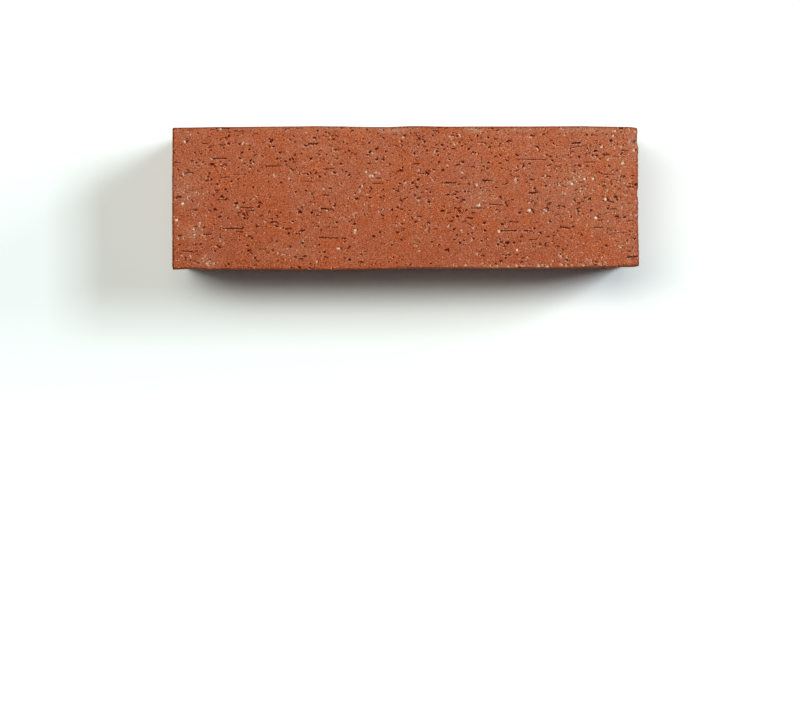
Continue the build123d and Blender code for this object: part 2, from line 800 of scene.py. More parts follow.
@dataclass(frozen=True)
class Sighting:
    """Where the show face is in the photograph, in its pixels, and how it is turned there."""

    middle_x: float = 404.65
    middle_y: float = 197.7
    pixels_per_mm: float = 2.1651
    turn: float = math.radians(0.17)

    def place(self, x: float, y: float) -> tuple[float, float]:
        """The place on the show face that is seen at a pixel.

        Args:
            x: The pixel's place from the left.
            y: Its place from the top.

        Returns:
            How far along and across from the face's middle.
        """
        along = (x - self.middle_x) / self.pixels_per_mm
        across = (self.middle_y - y) / self.pixels_per_mm
        return along + self.turn * across, across - self.turn * along


SIGHTING = Sighting()


@dataclass(frozen=True)
class Patch:
    """A patch seen round a pixel of the photograph. Its half sizes are in millimetres."""

    x: float
    y: float
    half_run: float
    half_rise: float
    strength: float

    def at(self, along: float, across: float) -> float:
        """How strong the patch is at a place on the show face.

        Args:
            along: How far along from the face's middle.
            across: How far across from it.

        Returns:
            Its strength there.
        """
        middle = SIGHTING.place(self.x, self.y)
        run = (along - middle[0]) / self.half_run
        rise = (across - middle[1]) / self.half_rise
        return self.strength * math.exp(-run * run - rise * rise)


@dataclass(frozen=True)
class Reading:
    """How a mark that is seen becomes a shape: as shares of its size where nothing else is said.

    A dark outline in the photograph is wider than the hollow that throws it, and a grain is seen
    with its shadow. The depths and the spacings of the mesh are millimetres.
    """

    # The painted highlight round a seen mark
    rim_highlight: float = 0.45
    pit_run: float = 0.25
    pit_width: float = 0.76
    least_pit_depth: float = 0.3
    pit_depth: float = 0.35
    groove_width: float = 0.85
    groove_depth: float = 0.8
    groove_spacing: float = 0.24
    grain_radius: float = 0.77
    grain_pale: float = 0.43
    large_grain_paler: float = 0.57
    large_grain: Span = (0.4, 0.75)
    hollow_along: float = 0.9
    hollow_across: float = 0.3
    hollow_run: float = 0.5
    hollow_width: float = 1.4
    hollow_slope: float = 0.4
    hollow_depth: float = 0.45
    hollow_shade: float = 0.7
    shaded_grain: Span = (0.25, 0.45)


READING = Reading()


@dataclass(frozen=True)
class Pit:
    """A pit that is seen at a pixel of the photograph. Its width is in millimetres."""

    x: float
    y: float
    width: float
    shade: float = 0.95

    def mark(self) -> Mark:
        """The pit as a mark on the show face.

        Returns:
            The mark.
        """
        along, across = SIGHTING.place(self.x, self.y)
        depth = READING.least_pit_depth + self.width * READING.pit_depth
        run, width = self.width * READING.pit_run, self.width * READING.pit_width
        return Mark(along, across, run, width, depth, shade=self.shade, rim_highlight=READING.rim_highlight)


@dataclass(frozen=True)
class Grain:
    """A pale grain that is seen at a pixel of the photograph. Its radius is in millimetres."""

    x: float
    y: float
    radius: float
    burnt: bool = False

    def mark(self) -> Mark:
        """The grain as a mark on the show face, with the hollow on its right.

        Returns:
            The mark.
        """
        along, across = SIGHTING.place(self.x, self.y)
        size = self.radius
        pale = READING.grain_pale + READING.large_grain_paler * ease(*READING.large_grain, size)
        return Mark(
            along + size * READING.hollow_along,
            across + size * READING.hollow_across,
            size * READING.hollow_run,
            size * READING.hollow_width,
            READING.hollow_depth,
            slope=size * READING.hollow_slope,
            shade=READING.hollow_shade * ease(*READING.shaded_grain, size),
            grain=size * READING.grain_radius,
            pale=-1.0 if self.burnt else pale,
        )


@dataclass(frozen=True)
class Groove:
    """A groove that is seen between two pixels of the photograph. Its width is in millimetres."""

    x: float
    y: float
    to_x: float
    to_y: float
    width: float = 0.55
    shade: float = 0.85
    bow: float = 0.0

    def mark(self) -> Mark:
        """The groove as a mark on the show face.

        Returns:
            The mark.
        """
        left = SIGHTING.place(self.x, self.y)
        right = SIGHTING.place(self.to_x, self.to_y)
        return Mark(
            (left[0] + right[0]) / 2,
            (left[1] + right[1]) / 2,
            right[0] - left[0],
            self.width * READING.groove_width,
            self.width * READING.groove_depth,
            slope=right[1] - left[1],
            bow=self.bow,
            shade=self.shade,
            rim_highlight=READING.rim_highlight,
            spacing=READING.groove_spacing,
        )


@dataclass(frozen=True)
class Scattering:
    """The smaller marks of a face: how many, how many times as large as usual, and their seed."""

    count: int
    coarse: float
    seed: int


@dataclass(frozen=True)
class SmallMarks:
    """How the smaller marks are drawn. Lengths are the show face's, in millimetres.

    A draw from 0 to 1 picks the kind: grains come up to the first threshold, then pits, then
    scratches, and drag grooves past the last. Slopes of scratches and grooves are shares of runs.
    """

    width: float = 0.575
    width_spread: float = 0.32
    widest: float = 1.3
    shades: Span = (0.6, 1.2)
    depths: Span = (0.5, 0.9)
    # The painted highlight round a small mark
    rim_highlights: Span = (0.1, 0.8)
    spacing: float = 0.29

    grains_to: float = 0.05
    grain_radii: Span = (0.28, 0.5)
    grain_share: float = 0.9
    grain_depth: float = 0.35
    grain_slopes: Span = (-0.2, 0.4)
    grain_shade: float = 0.5
    grain_paleness: Span = (-0.4, 0.9)

    pits_to: float = 0.60
    pit_runs: Span = (0.0, 0.5)
    pit_slopes: Span = (-0.5, 0.5)

    scratches_to: float = 0.92
    scratch_runs: Span = (0.6, 1.6)
    scratch_slopes: Span = (-0.6, 0.6)
    scratch_width: float = 0.8

    groove_runs: Span = (1.8, 5.0)
    groove_slopes: Span = (-0.06, 0.08)
    groove_widths: Span = (0.35, 0.5)
    groove_shade: float = 0.8

    # How far from each other they keep, and where the clay is so rough that none is left out
    gap_along: float = 0.5
    gap_across: float = 0.8
    gap_per_run: float = 0.25
    longest_that_counts: float = 2.0
    full_roughness: float = 1.4

    def draw(self, rng: random.Random, along: float, across: float, coarse: float) -> Mark:
        """Draws one small pit, scratch, groove or grain.

        Args:
            rng: The source of chance.
            along: Its place along the face.
            across: Its place across the face.
            coarse: How many times as large as usual it is.

        Returns:
            The mark.
        """
        spread = math.exp(self.width_spread * rng.gauss(0.0, 1.0))
        width = min(self.widest, self.width * spread) * coarse
        kind = rng.random()
        shade = rng.uniform(*self.shades)
        spacing = self.spacing * coarse * coarse
        if kind < self.grains_to:
            size = rng.uniform(*self.grain_radii) * coarse
            return Mark(
                along,
                across,
                size * READING.hollow_run,
                size * READING.hollow_width,
                self.grain_depth * coarse,
                slope=rng.uniform(*self.grain_slopes),
                shade=self.grain_shade,
                grain=size * self.grain_share,
                pale=rng.uniform(*self.grain_paleness),
                spacing=spacing,
            )
        if kind < self.pits_to:
            run = rng.uniform(*self.pit_runs) * coarse
            slope = rng.uniform(*self.pit_slopes) * coarse
        elif kind < self.scratches_to:
            run = rng.uniform(*self.scratch_runs) * coarse
            slope = run * rng.uniform(*self.scratch_slopes)
            width *= self.scratch_width
        else:
            run = rng.uniform(*self.groove_runs) * coarse
            slope = run * rng.uniform(*self.groove_slopes)
            width = rng.uniform(*self.groove_widths) * coarse
            shade *= self.groove_shade
        depth = width * rng.uniform(*self.depths)
        # The painted highlight round it
        rim_highlight = rng.uniform(*self.rim_highlights)
        return Mark(along, across, run, width, depth, slope, shade=shade, rim_highlight=rim_highlight, spacing=spacing)

    def too_near(self, mark: Mark, other: Mark) -> bool:
        """Whether two marks of a face would run into each other.

        Args:
            mark: One mark.
            other: The other.

        Returns:
            True where they would.
        """
        longer = min(self.longest_that_counts, max(other.run, mark.run))
        if abs(mark.across - other.across) >= self.gap_across + self.gap_per_run * longer:
            return False
        return abs(mark.along - other.along) < self.gap_along + (other.run + mark.run) / 2


@dataclass(frozen=True)
class Fineness:
    """How long the mesh's edges may be, in millimetres.

    They are short on an arris and in a mark, and may grow with the distance from it, up to the
    length for a plain face. An edge is cut when it is so many times too long.
    """

    first_grid: float = 8.0
    too_long: float = 1.4
    show_face: float = 2.4
    other_face: float = 4.5
    face_depth: float = 0.5
    show_arris: float = 0.42
    other_arris: float = 0.95
    arris_depth: float = 2.0
    arris_reach: float = 1.3
    arris_growth: float = 0.75
    mark_margin: float = 0.12
    mark_growth: float = 0.9
    nearest_marks: int = 3

    def on_block(self, under_top: float, from_arris: float) -> float:
        """The length for the block, where no mark is near.

        Args:
            under_top: How far under the show face it is.
            from_arris: How far from an arris.

        Returns:
            The length.
        """
        face = self.show_face if under_top < self.face_depth else self.other_face
        arris = self.show_arris if under_top < self.arris_depth else self.other_arris
        return min(face, arris + self.arris_growth * max(0.0, from_arris - self.arris_reach))


# The smaller marks of each face
SCATTERINGS = {
    Face.SHOW: Scattering(680, 1.0, 11),
    Face.BACK: Scattering(150, 1.4, 12),
    Face.UPPER_BED: Scattering(160, 1.4, 13),
    Face.LOWER_BED: Scattering(160, 1.4, 14),
    Face.LEFT_END: Scattering(90, 1.4, 15),
    Face.RIGHT_END: Scattering(90, 1.4, 16),
}

# A point this near to a mark's face, or nearer, lies on that face
SAME_FACE = 1.0

# Edges whose lengths have a ratio under this count as equally long
EQUAL_LENGTHS = 1.0001


@dataclass
class Brick:
    """The whole brick: its sizes, what is pressed into it, and how its mesh is made."""

    length: float = LENGTH
    course_height: float = COURSE_HEIGHT
    bed_depth: float = BED_DEPTH
    fineness: Fineness = Fineness()
    small_marks: SmallMarks = SmallMarks()

    # The arrises: the die's and the wires', how unevenly they are worn, and the painted shade along
    # them, deepest on the left end, which is turned away from the lamps on the right
    die_arris_radius: float = 1.1
    wire_arris_radius: float = 0.55
    lower_arris_wear: float = 1.35
    arris_wear: tuple = (Unevenness(5.0, 0.5), Unevenness(1.6, 0.35))
    arris_shade: float = 0.24
    left_arris_shade: float = 0.45
    arris_shade_span: Span = (0.3, 1.1)
    left_arris_width: float = 1.0

    # The seen chips' distances from the ends and from the upper bed face
    upper_left_chip_from_left: float = 8.4
    upper_middle_chip_from_right: float = 94.3
    upper_right_chip_from_right: float = 63.0
    right_end_chip_from_upper: float = 5.2

    # How the block strays from true: most at the show face, and ragged at its right end
    show_face_splay: float = 0.24
    stray_fade: float = 25.0
    swells: tuple = (Unevenness(33.0, 0.13), Unevenness(6.0, 0.05))
    wandering_end: Span = (0.97, 1.0)
    ragged_end: Span = (0.985, 1.0)
    end_raggedness: tuple = (Unevenness(1.7, 0.22), Unevenness(0.8, 0.1))

    # How rough the clay is, and the pale bloom on the faces that aren't seen
    plain_roughness: float = 0.7
    most_roughness: float = 2.0
    roughness_swells: tuple = (Unevenness(7.0, 0.6), Unevenness(3.0, 0.4))
    rougher_to_top: float = 0.3
    hidden_bloom: float = 0.35
    hidden_bloom_swell: Unevenness = Unevenness(19.0)
    hidden_bloom_span: Span = (0.1, 0.5)

    finish: FiredClay = FiredClay()
    marks: list[tuple[Plane, Mark]] = field(default_factory=list)
    chips: list[Chip] = field(default_factory=list)

    def plane(self, face: Face) -> Plane:
        """Places a face on this brick.

        Args:
            face: The face.

        Returns:
            Its plane, with its middle and half sizes.
        """
        outward, along = (Vector(direction) for direction in face.value)
        half = Vector((self.length, self.course_height, self.bed_depth)) / 2
        middle = Vector((0.0, 0.0, half.z)) + outward * abs(outward.dot(half))
        across = outward.cross(along)
        return Plane(outward, along, middle, abs(along.dot(half)), abs(across.dot(half)))

    def press_seen_marks(self) -> None:
        """Adds the marks that the photograph shows on the show face."""
        plane = self.plane(Face.SHOW)
        for seen in (*SEEN_PITS, *SEEN_GROOVES, *SEEN_GRAINS):
            self.marks.append((plane, seen.mark()))

    def scatter_marks(self, face: Face, scattering: Scattering) -> None:
        """Adds smaller marks at random places of a face, clear of those that are there.

        Args:
            face: The face.
            scattering: How many marks it gets, how coarse they are and the seed of their draw.
                The mesh round coarse ones is coarser by more than they are.
        """
        rng = random.Random(scattering.seed)
        plane = self.plane(face)
        taken = [mark for other, mark in self.marks if other.outward == plane.outward]
        goal = len(taken) + scattering.count
        while len(taken) < goal:
            along = rng.uniform(-plane.half_run, plane.half_run)
            across = rng.uniform(-plane.half_rise, plane.half_rise)
            mark = self.small_marks.draw(rng, along, across, scattering.coarse)
            chance = rng.random() * self.small_marks.full_roughness
            if chance > self.rough_at(plane.point(along, across)):
                continue
            if any(self.small_marks.too_near(mark, other) for other in taken):
                continue
            self.marks.append((plane, mark))
            taken.append(mark)

    def break_chips(self) -> None:
        """Adds the chips that the photograph shows, and crumbs along all the arrises."""
        right, upper, top = self.length / 2, self.course_height / 2, self.bed_depth
        upper_slant, right_slant = (0, 1, 1), (1, 0, 1)
        upper_left = (self.upper_left_chip_from_left - right, upper, top)
        upper_middle = (right - self.upper_middle_chip_from_right, upper, top)
        upper_right = (right - self.upper_right_chip_from_right, upper, top)
        right_end = (right, upper - self.right_end_chip_from_upper, top)
        self.chips = [
            Chip(upper_left, upper_slant, run=9.0, bite=1.15),
            Chip(upper_middle, upper_slant, run=9.5, bite=1.1),
            Chip(upper_right, upper_slant, run=7.5, bite=0.95),
            Chip(right_end, right_slant, run=6.5, bite=1.0),
            Chip((right, upper, top), (1, 1, 1), run=6.5, bite=1.5),
            Chip((-right, -upper, top), (-1, -1, 1), run=4.0, bite=1.25),
        ]
        rng = random.Random(CRUMB_SEED)
        for _ in range(END_CRUMBS.count):
            point = (right, rng.uniform(-upper, upper), top)
            self.chips.append(END_CRUMBS.crumb(rng, point, right_slant))
        for _ in range(LONG_CRUMBS.count):
            x = rng.uniform(-right, right)
            y = rng.choice((upper, upper, -upper))
            slant = (0, math.copysign(1, y), 1)
            self.chips.append(LONG_CRUMBS.crumb(rng, (x, y, top), slant))
        for _ in range(HIDDEN_CRUMBS.count):
            side = rng.choice((-1, 1))
            if rng.random() < 0.5:
                end = rng.choice((-1, 1))
                height = rng.uniform(CRUMB_MARGIN, top - CRUMB_MARGIN)
                point, slant = (end * right, side * upper, height), (end, side, 0)
            else:
                point, slant = (rng.uniform(-right, right), side * upper, 0.0), (0, side, -1)
            self.chips.append(HIDDEN_CRUMBS.crumb(rng, point, slant))

    def blank(self) -> bmesh.types.BMesh:
        """Makes the block with sharp arrises, its faces cut into even triangles.

        Returns:
            The block's mesh.
        """
        mesh = bmesh.new()
        bmesh.ops.create_cube(mesh, size=1.0)
        sizes = (self.length, self.course_height, self.bed_depth)
        bmesh.ops.scale(mesh, vec=sizes, verts=mesh.verts)
        bmesh.ops.translate(mesh, vec=(0.0, 0.0, self.bed_depth / 2), verts=mesh.verts)
        for axis, size in enumerate(sizes):
            edges = [
                edge for edge in mesh.edges
                if abs(edge.verts[1].co[axis] - edge.verts[0].co[axis]) > size / 2
            ]
            cuts = round(size / self.fineness.first_grid) - 1
            bmesh.ops.subdivide_edges(mesh, edges=edges, cuts=cuts, use_grid_fill=True)
        bmesh.ops.triangulate(mesh, faces=mesh.faces)
        return mesh

    def arris_distance(self, point: Vector) -> float:
        """How far a point of the block's surface is from the nearest arris."""
        inset = sorted((
            self.length / 2 - abs(point.x),
            self.course_height / 2 - abs(point.y),
            min(point.z, self.bed_depth - point.z),
        ))
        return math.hypot(inset[0], inset[1])

    def refine(self, mesh: bmesh.types.BMesh) -> None:
        """Makes the mesh finer round the marks and the arrises.

        A triangle that is too large is cut across its longest edge. Where that edge isn't its
        neighbour's longest, the neighbour is cut first, so no triangle gets thin.

        Args:
            mesh: The block's mesh, all triangles.
        """
        fineness = self.fineness
        samples = [
            (plane.point(*place), mark.spacing, mark.fine_reach + fineness.mark_margin)
            for plane, mark in self.marks for place in mark.samples()
        ]
        tree = tree_of([point for point, _, _ in samples])

        def wanted(point: Vector) -> float:
            """The length of edge that is wanted at a point.

            Args:
                point: The middle of an edge.

            Returns:
                The length.
            """
            best = fineness.on_block(self.bed_depth - point.z, self.arris_distance(point))
            for _, index, distance in tree.find_n(point, fineness.nearest_marks):
                _, spacing, reach = samples[index]
                best = min(best, spacing + fineness.mark_growth * max(0.0, distance - reach))
            return best

        settled = mesh.faces.layers.int.new("settled")
        while True:
            chosen: dict[bmesh.types.BMEdge, None] = {}
            for face in mesh.faces:
                if face[settled]:
                    continue
                edge = longest(face)
                middle = (edge.verts[0].co + edge.verts[1].co) / 2
                if edge.calc_length() < fineness.too_long * wanted(middle):
                    face[settled] = 1
                    continue
                chosen[last_longest(face, edge)] = None
            if not chosen:
                break
            bmesh.ops.subdivide_edges(mesh, edges=list(chosen), cuts=1, use_single_edge=True)
        mesh.faces.layers.int.remove(settled)

    def pressed(self, mesh: bmesh.types.BMesh) -> dict[int, tuple[Vector, float, float, float]]:
        """Works out what the marks do to each point of the mesh.

        Args:
            mesh: The refined block.

        Returns:
            The face's outward direction, the depth, the painted shade, which is a painted highlight
            below 0, and the grain, by the index of each point that a mark touches.
        """
        mesh.verts.index_update()
        tree = tree_of([vertex.co for vertex in mesh.verts])
        found: dict[int, tuple[Vector, float, float, float]] = {}
        for plane, mark in self.marks:
            middle = plane.point(mark.along, mark.across)
            for point, index, _ in tree.find_range(middle, mark.reach):
                away = point - middle
                if abs(away.dot(plane.outward)) > SAME_FACE:
                    continue
                depth, dark, grain = mark.effect(
                    away.dot(plane.along), away.dot(plane.across), OUTLINE.at(point)
                )
                if depth == 0.0 and dark == 0.0 and grain == 0.0:
                    continue
                _, old_depth, old_dark, old_grain = found.get(index, (None, 0.0, 0.0, 0.0))
                if grain or old_grain:
                    depth += old_depth * (1.0 - max(abs(grain), abs(old_grain)))
                    dark = max(dark, old_dark * (1.0 - abs(grain))) * (1.0 - abs(old_grain))
                else:
                    depth = max(depth, old_depth)
                    dark = max(dark, old_dark) if max(dark, old_dark) > 0.0 else min(dark, old_dark)
                found[index] = (plane.outward, depth, dark, max(grain, old_grain, key=abs))
        return found

    def rounded(self, point: Vector) -> Vector:
        """Where a point of the sharp block lies once the arrises are worn round.

        Args:
            point: The point.

        Returns:
            Its place on the worn block.
        """
        wear = sum((swell.at(point) for swell in self.arris_wear), 1.0)
        die = self.die_arris_radius * wear
        if point.y < 0.0 and point.z > self.bed_depth / 2:
            die *= self.lower_arris_wear
        half_height, half_depth = self.course_height / 2, self.bed_depth / 2
        y, z = point.y, point.z - half_depth
        over_y, over_z = abs(y) - (half_height - die), abs(z) - (half_depth - die)
        inset = min(half_height - abs(y), half_depth - abs(z))
        if over_y > 0.0 and over_z > 0.0:
            off = math.hypot(over_y, over_z)
            pull = min(1.0, die / off)
            y = math.copysign(half_height - die + over_y * pull, y)
            z = math.copysign(half_depth - die + over_z * pull, z)
            inset = die - min(off, die)
            slant = Vector((0.0, math.copysign(over_y, y), math.copysign(over_z, z))) / off
        elif half_height - abs(y) < half_depth - abs(z):
            slant = Vector((0.0, math.copysign(1.0, y), 0.0))
        else:
            slant = Vector((0.0, 0.0, math.copysign(1.0, z)))
        result = Vector((point.x, y, z + half_depth))
        wire = self.wire_arris_radius * wear
        end_inset = self.length / 2 - abs(point.x)
        if end_inset < wire and inset < wire:
            over_end, over_side = wire - end_inset, wire - inset
            pull = min(1.0, wire / math.hypot(over_end, over_side))
            result.x = math.copysign(self.length / 2 - wire + over_end * pull, point.x)
            result -= slant * (wire - over_side * pull - inset)
        return result

    def strayed(self, point: Vector) -> Vector:
        """How far the block strays from true at a point: its splay, its wavy arrises, its faces.

        Args:
            point: A point of the block.

        Returns:
            The shift there.
        """
        near_top = math.exp(-max(0.0, self.bed_depth - point.z) / self.stray_fade)
        side = point.y / (self.course_height / 2)
        end = point.x / (self.length / 2)
        shift = Vector((-end * side * self.show_face_splay * near_top, 0.0, 0.0))
        wander = UPPER_WANDER if side > 0.0 else LOWER_WANDER
        shift.y += wander.at(point.x) * side * near_top
        if end > self.wandering_end[0]:
            shift.x += RIGHT_WANDER.at(point.y) * near_top * ease(*self.wandering_end, end)
            ragged = sum(swell.at(point) for swell in self.end_raggedness)
            shift.x += ragged * ease(*self.ragged_end, end)
        for swell in self.swells:
            shift += swell.shift(point)
        return shift

    def bloom_at(self, point: Vector) -> float:
        """How much pale dusting the clay carries at a point."""
        if point.z > self.bed_depth - SHOW_FACE_DEPTH:
            return min(1.0, sum(patch.at(point.x, point.y) for patch in SEEN_BLOOM))
        return self.hidden_bloom * ease(*self.hidden_bloom_span, self.hidden_bloom_swell.at(point))

    def rough_at(self, point: Vector) -> float:
        """How rough and gritty the clay is at a point.

        Args:
            point: A point of the block.

        Returns:
            0.7 where it is plain, 0 where it is smooth and 2 at most.
        """
        rough = sum((swell.at(point) for swell in self.roughness_swells), self.plain_roughness)
        if point.z > self.bed_depth - SHOW_FACE_DEPTH:
            rough += self.rougher_to_top * point.y / self.course_height
            rough += sum(patch.at(point.x, point.y) for patch in SEEN_ROUGHNESS)
        return min(self.most_roughness, max(0.0, rough))

    def painted_arris_shade(self, point: Vector) -> float:
        """How much painted shade a point gets because it is near an arris.

        Args:
            point: A point of the block.

        Returns:
            The painted shade, from 0 away from the arrises.
        """
        on_left = point.x < self.left_arris_width - self.length / 2
        shade = self.left_arris_shade if on_left else self.arris_shade
        return (1.0 - ease(*self.arris_shade_span, self.arris_distance(point))) * shade

    def shape(self, mesh: bmesh.types.BMesh) -> None:
        """Presses the marks, wears the arrises, breaks the chips and stores colours and painted shade.

        Args:
            mesh: The refined block.
        """
        layers = mesh.verts.layers.float
        # hollow holds painted shade, and a painted highlight where it is below 0
        names = ("hollow", "grain", "bloom", "rough", "unseen")
        hollow, grit, bloom, rough, unseen = (layers.new(name) for name in names)
        pressed = self.pressed(mesh)
        tree = tree_of([chip.point for chip in self.chips])
        for vertex in mesh.verts:
            point = vertex.co.copy()
            vertex[bloom], vertex[rough] = self.bloom_at(point), self.rough_at(point)
            vertex[unseen] = ease(0.0, SHOW_FACE_DEPTH, self.bed_depth - point.z)
            place = self.rounded(point)
            for _, index, _ in tree.find_range(point, CHIP_REACH):
                place = self.chips[index].broken(place)
            # Painted shade along the arrises, and the marks' own painted shade and highlight
            darkness = self.painted_arris_shade(point)
            if vertex.index in pressed:
                outward, depth, dark, grain = pressed[vertex.index]
                place -= outward * depth
                darkness = (max(dark, darkness) if dark >= 0.0 else dark) * (1.0 - abs(grain))
                vertex[grit] = grain
            vertex[hollow] = darkness
            place += self.strayed(point)
            place.z = max(0.0, place.z)
            vertex.co = place

    def build(self) -> bpy.types.Object:
        """Makes the brick's mesh and dresses it.

        Returns:
            The finished piece.
        """
        self.press_seen_marks()
        for face, scattering in SCATTERINGS.items():
            self.scatter_marks(face, scattering)
        self.break_chips()
        mesh = self.blank()
        self.refine(mesh)
        self.shape(mesh)
        bmesh.ops.scale(mesh, vec=(MM, MM, MM), verts=mesh.verts)
        bmesh.ops.recalc_face_normals(mesh, faces=mesh.faces)
        for face in mesh.faces:
            face.smooth = True
        LOG.info("fired_brick: %d points, %d triangles", len(mesh.verts), len(mesh.faces))
        data = bpy.data.meshes.new("fired_brick")
        mesh.to_mesh(data)
        mesh.free()
        piece = bpy.data.objects.new("fired_brick", data)
        bpy.context.collection.objects.link(piece)
        data.materials.append(self.finish.material())
        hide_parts("brick")
        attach(piece, "root")
        return piece


def longest(face: bmesh.types.BMFace) -> bmesh.types.BMEdge:
    """The face's longest edge."""
    return max(face.edges, key=lambda edge: edge.calc_length())


def last_longest(face: bmesh.types.BMFace, edge: bmesh.types.BMEdge) -> bmesh.types.BMEdge:
    """Walks from face to face across longest edges, to one that is the longest of both its faces.

    Args:
        face: The face to start from.
        edge: Its longest edge.

    Returns:
        The edge to cut.
    """
    while True:
        neighbour = next(other for other in edge.link_faces if other is not face)
        theirs = longest(neighbour)
        if theirs is edge or theirs.calc_length() <= edge.calc_length() * EQUAL_LENGTHS:
            return edge
        face, edge = neighbour, theirs


def facing(back: Vector) -> Matrix:
    """The turn of a lamp or camera that has its back to a direction and its top towards +Y.

    Args:
        back: The direction that its back is turned to.

    Returns:
        The turn.
    """
    back = back.normalized()
    right = Vector((0.0, 1.0, 0.0)).cross(back).normalized()
    return Matrix((right, back.cross(right), back)).transposed()


@dataclass(frozen=True)
class Softbox:
    """A large soft lamp, by the share of the table's light that it gives. Lengths are metres."""

    name: str
    towards: tuple
    distance: float
    width: float
    height: float
    share: float
    tint: tuple = (1.0, 1.0, 1.0)
    outline: str = "RECTANGLE"

    def hang(self, target: Vector) -> None:
        """Hangs the lamp and points it at the target.

        Its power makes a level white surface there as bright as its share of plain white.

        Args:
            target: The place that it lights.
        """
        direction = Vector(self.towards).normalized()
        lamp = bpy.data.lights.new(self.name, "AREA")
        lamp.shape = self.outline
        lamp.size, lamp.size_y = self.width, self.height
        lamp.color = self.tint
        lamp.energy = self.share * (math.pi * self.distance) ** 2 / direction.z
        hung = bpy.data.objects.new(self.name, lamp)
        hung.location = target + direction * self.distance
        hung.rotation_euler = facing(direction).to_euler()
        bpy.context.collection.objects.link(hung)


@dataclass
class Studio:
    """The white table, the lamps and the camera over the brick. Lengths are metres."""

    target: Vector = field(default_factory=lambda: Vector((0.0, 0.0, 0.05)))
    camera_place: Vector = field(default_factory=lambda: Vector((-0.00261, -0.0171, 1.70)))
    aim: Vector = field(default_factory=lambda: Vector((-0.00261, -0.07186, 0.1025)))
    lens: float = 155.6
    sensor: float = 36.0
    roll: float = math.radians(-0.17)
    table_half_width: float = 6.0
    sky: tuple = (0.024, 0.037, 0.041, 1.0)
    seen_sky: tuple = (1.0, 1.0, 1.0, 1.0)
    lamps: tuple = (
        Softbox(
            "overhead", (-15.5, 13.8, 100.0), 6.0, 2.9, 1.05, 0.34, (0.98, 1.01, 0.92), "ELLIPSE"
        ),
        Softbox(
            "ceiling", (-15.5, 15.0, 100.0), 6.0, 3.3, 2.1, 0.20, (0.98, 1.01, 0.92), "ELLIPSE"
        ),
        Softbox("window", (51.0, 23.1, 100.0), 6.0, 1.25, 1.55, 0.29, (0.85, 1.02, 1.08)),
        Softbox("side", (108.0, 41.7, 100.0), 6.0, 1.06, 2.14, 0.145, (0.97, 1.0, 0.98)),
    )

    def lay_table(self) -> None:
        """Lays the white table under the brick."""
        mesh = bmesh.new()
        bmesh.ops.create_grid(mesh, x_segments=1, y_segments=1, size=self.table_half_width)
        data = bpy.data.meshes.new("table")
        mesh.to_mesh(data)
        mesh.free()
        data.materials.append(WhiteTable().material())
        table = bpy.data.objects.new("table", data)
        bpy.context.collection.objects.link(table)

    def light(self) -> None:
        """Hangs the lamps, and sets the sky: dim for light, and white where it is looked at."""
        for lamp in self.lamps:
            lamp.hang(self.target)
        wiring = Wiring(bpy.data.worlds.new("studio"))
        colour = wiring.mixed(wiring.looked_at(), self.sky, self.seen_sky)
        shader = wiring.add("ShaderNodeBackground", {}, {"Color": colour}, "Background")
        bpy.context.scene.world = wiring.finish(shader)

    def set_camera(self) -> None:
        """Sets the camera over the brick, as the photograph's was."""
        camera = bpy.data.cameras.new("camera")
        camera.lens = self.lens
        camera.sensor_width = self.sensor
        stand = bpy.data.objects.new("camera", camera)
        stand.location = self.camera_place
        turned = facing(self.camera_place - self.aim) @ Matrix.Rotation(self.roll, 3, "Z")
        stand.rotation_euler = turned.to_euler()
        bpy.context.collection.objects.link(stand)
        bpy.context.scene.camera = stand

    def build(self) -> None:
        """Builds the studio, and has colours shown as they are."""
        self.lay_table()
        self.light()
        self.set_camera()
        bpy.context.scene.view_settings.view_transform = "Standard"
        LOG.info("studio: table, %d lamps and camera", len(self.lamps))


# How far the show face's long arrises and its right end stray outwards, read one by one
UPPER_WANDER = Wander((
    (-107.5, -0.2), (-96.0, -0.1), (-83.0, 0.1), (-61.0, 0.18), (-39.0, 0.3), (-9.5, -0.14),
    (5.0, 0.28), (21.0, 0.0), (79.0, -0.07), (101.0, -0.37), (104.0, -0.45), (107.5, -0.9),
))
LOWER_WANDER = Wander((
    (-107.5, -0.1), (-98.0, -0.44), (-91.0, 0.1), (-24.0, 0.28), (5.0, -0.1), (44.0, 0.0),
    (72.0, -0.05), (94.0, -0.5), (101.5, -1.05), (107.5, -1.05),
))
RIGHT_WANDER = Wander((
    (-29.0, 0.19), (-12.0, -0.06), (-3.0, 0.04), (1.2, -0.36), (6.0, 0.14), (19.0, 0.09),
    (23.0, 0.31), (26.6, -0.16), (31.0, 0.04),
))

